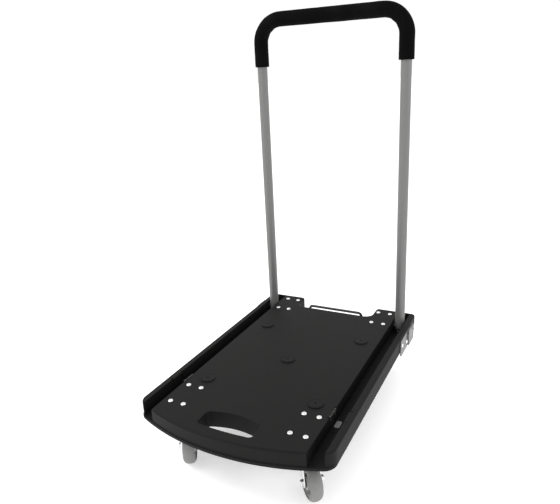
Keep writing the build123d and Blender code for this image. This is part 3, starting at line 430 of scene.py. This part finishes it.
def hand_grip(finish):
    """Foam sleeve over the crossbar and both bends of the handle."""
    low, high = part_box("handle_grip")
    tube_low, tube_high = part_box("handle_tube")
    outer = (high.y - low.y) / 2 - GRIP_UNDERSIZE
    inner = (tube_high.y - tube_low.y) / 2
    leg_x = tube_high.x - inner
    foot = Vector((leg_x, (high.y + low.y) / 2, low.z))
    crossbar_z = high.z - (high.y - low.y) / 2
    bend_x, bend_z = leg_x - CAD_BEND_RADIUS, crossbar_z - CAD_BEND_RADIUS
    rise = Vector((0, 0, bend_z - low.z))
    bm = bmesh.new()
    for edges in [ring(bm, outer, foot), ring(bm, inner, foot)]:
        edges = stretch(bm, edges, rise)
        edges = bend(bm, edges, (bend_x, foot.y, bend_z))
        edges = stretch(bm, edges, Vector((-2 * bend_x, 0, 0)))
        edges = bend(bm, edges, (-bend_x, foot.y, bend_z))
        stretch(bm, edges, -rise)
    bmesh.ops.remove_doubles(bm, verts=bm.verts, dist=WELD)
    open_edges = [edge for edge in bm.edges if edge.is_boundary]
    for side in (-1, 1):
        bmesh.ops.bridge_loops(bm, edges=[edge for edge in open_edges if edge.verts[0].co.x * side > 0])
    bmesh.ops.recalc_face_normals(bm, faces=bm.faces)
    bmesh.ops.bevel(bm, geom=foot_rims(bm, foot, (outer + inner) / 2), offset=GRIP_END_ROUND,
                    segments=GRIP_END_SEGMENTS, profile=0.5, affect="EDGES", material=-1)
    bm.normal_update()
    above_foot = [vert for vert in bm.verts if vert.co.z > low.z + NEAR]
    for vert in above_foot:
        vert.co -= vert.normal * crease_depth(vert.co, leg_x, crossbar_z)
    grip = add_piece("foam_grip", bm)
    grip.data.materials.append(finish)
    grip.data.shade_smooth()
    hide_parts("handle_grip")
    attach(grip, "handle")


# -------------------------------------------------------------- rubber treads

TREAD_WIDTH = 0.028
TREAD_THICKNESS = 0.010        # tread over the wheel's hub
TREAD_BEAD = 0.0015            # flat side next to the hub
TREAD_FULLNESS = 2.0           # 2 is an elliptical crown, more is squarer
TREAD_CROWN_POINTS = 28
TREAD_STEPS = 120
TREAD_CREASE = radians(45)


def crown_profile(inner, outer, half):
    """Corners of the tread's section as (radius, place along the axle)."""
    shoulder = inner + TREAD_BEAD
    corners = [(inner, -half)]
    for i in range(TREAD_CROWN_POINTS + 1):
        angle = pi * i / TREAD_CROWN_POINTS
        across = -cos(angle)
        rise = sin(angle) ** (2 / TREAD_FULLNESS)
        along = copysign(half * abs(across) ** (2 / TREAD_FULLNESS), across)
        corners.append((shoulder + (outer - shoulder) * rise, along))
    return corners + [(inner, half)]


def rubber_tread(joint, finish):
    """Solid tyre with a rounded crown, in place of one CAD tread."""
    wheel = joint["child"]
    node = "wheel_tread_" + wheel.removeprefix("wheel_")
    centre, axle = Vector(joint["pos_m"]), Vector(joint["axis"]).normalized()
    low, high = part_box(node)
    outer = (high.z - low.z) / 2
    bm = bmesh.new()
    corners = [bm.verts.new(centre + axle * along + Vector((0, 0, radius)))
               for radius, along in crown_profile(outer - TREAD_THICKNESS, outer, TREAD_WIDTH / 2)]
    edges = [bm.edges.new(pair) for pair in zip(corners, corners[1:] + corners[:1])]
    bmesh.ops.spin(bm, geom=corners + edges, cent=centre, axis=axle, angle=2 * pi, steps=TREAD_STEPS,
                   use_merge=True, use_duplicate=False, dvec=(0, 0, 0))
    bmesh.ops.remove_doubles(bm, verts=bm.verts, dist=WELD)
    bmesh.ops.recalc_face_normals(bm, faces=bm.faces)
    tread = add_piece("rubber_" + node, bm)
    tread.data.materials.append(finish)
    tread.data.shade_smooth()
    tread.data.set_sharp_from_angle(angle=TREAD_CREASE)
    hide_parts(node)
    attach(tread, wheel)


# ---------------------------------------------------------- camera and studio

def add_camera():
    """Camera that looks down on the cart from its front right."""
    back = Vector((sin(CAMERA_AZIMUTH) * cos(CAMERA_ELEVATION),
                   -cos(CAMERA_AZIMUTH) * cos(CAMERA_ELEVATION), sin(CAMERA_ELEVATION)))
    right = Vector((cos(CAMERA_AZIMUTH), sin(CAMERA_AZIMUTH), 0))
    up = back.cross(right)
    level = Matrix((right, up, back)).transposed()
    data = bpy.data.cameras.new("camera")
    data.lens = CAMERA_LENS
    data.sensor_width = SENSOR_WIDTH
    data.shift_y = CAMERA_RISE
    data.clip_end = VIEW_REACH
    camera = bpy.data.objects.new("camera", data)
    bpy.context.scene.collection.objects.link(camera)
    turned = level @ Matrix.Rotation(CAMERA_ROLL, 3, "Z")
    camera.matrix_world = Matrix.Translation(CAMERA_TARGET + back * CAMERA_DISTANCE) @ turned.to_4x4()
    bpy.context.scene.camera = camera


def add_softbox(name, place, aim, size, power):
    """Large square soft light at a place, turned to its aim; size in metres, power in watts."""
    data = bpy.data.lights.new(name, "AREA")
    data.shape = "SQUARE"
    data.size = size
    data.energy = power
    light = bpy.data.objects.new(name, data)
    light.location = place
    light.rotation_euler = (Vector(aim) - Vector(place)).to_track_quat("-Z", "Y").to_euler()
    bpy.context.scene.collection.objects.link(light)


def add_studio():
    """Pale floor, pale surroundings and soft lights."""
    scene = bpy.context.scene
    scene.view_settings.view_transform = "Standard"
    world = bpy.data.worlds.new("studio")
    world.use_nodes = True
    scene.world = world
    background = world.node_tree.nodes["Background"]
    background.inputs["Color"].default_value = grey(1.0)
    background.inputs["Strength"].default_value = WORLD_STRENGTH

    bm = bmesh.new()
    bmesh.ops.create_circle(bm, cap_ends=True, segments=FLOOR_SIDES, radius=FLOOR_RADIUS)
    floor = add_piece("studio_floor", bm)
    finish = Finish("floor_paper", Roughness=0.9, Specular_IOR_Level=0.1, Emission_Color=grey(1.0),
                    Emission_Strength=FLOOR_GLOW)
    floor.data.materials.append(finish.set(Base_Color=finish.mix(finish.noise(3.0), grey(0.86), grey(0.9))))

    add_softbox("key", place=(-1.6, -1.2, 2.6), aim=(0, 0, 0.3), size=1.6, power=40.0)
    add_softbox("fill", place=(2.4, 0.6, 1.6), aim=(0, 0, 0.4), size=1.4, power=12.0)


add_camera()
finishes = make_finishes()
dress_cad_nodes(finishes)
hand_grip(finishes["grip_foam"])
for wheel_joint in frame["joints"]:
    if wheel_joint["name"].startswith("roll_"):
        rubber_tread(wheel_joint, finishes["wheel_tread"])
add_studio()
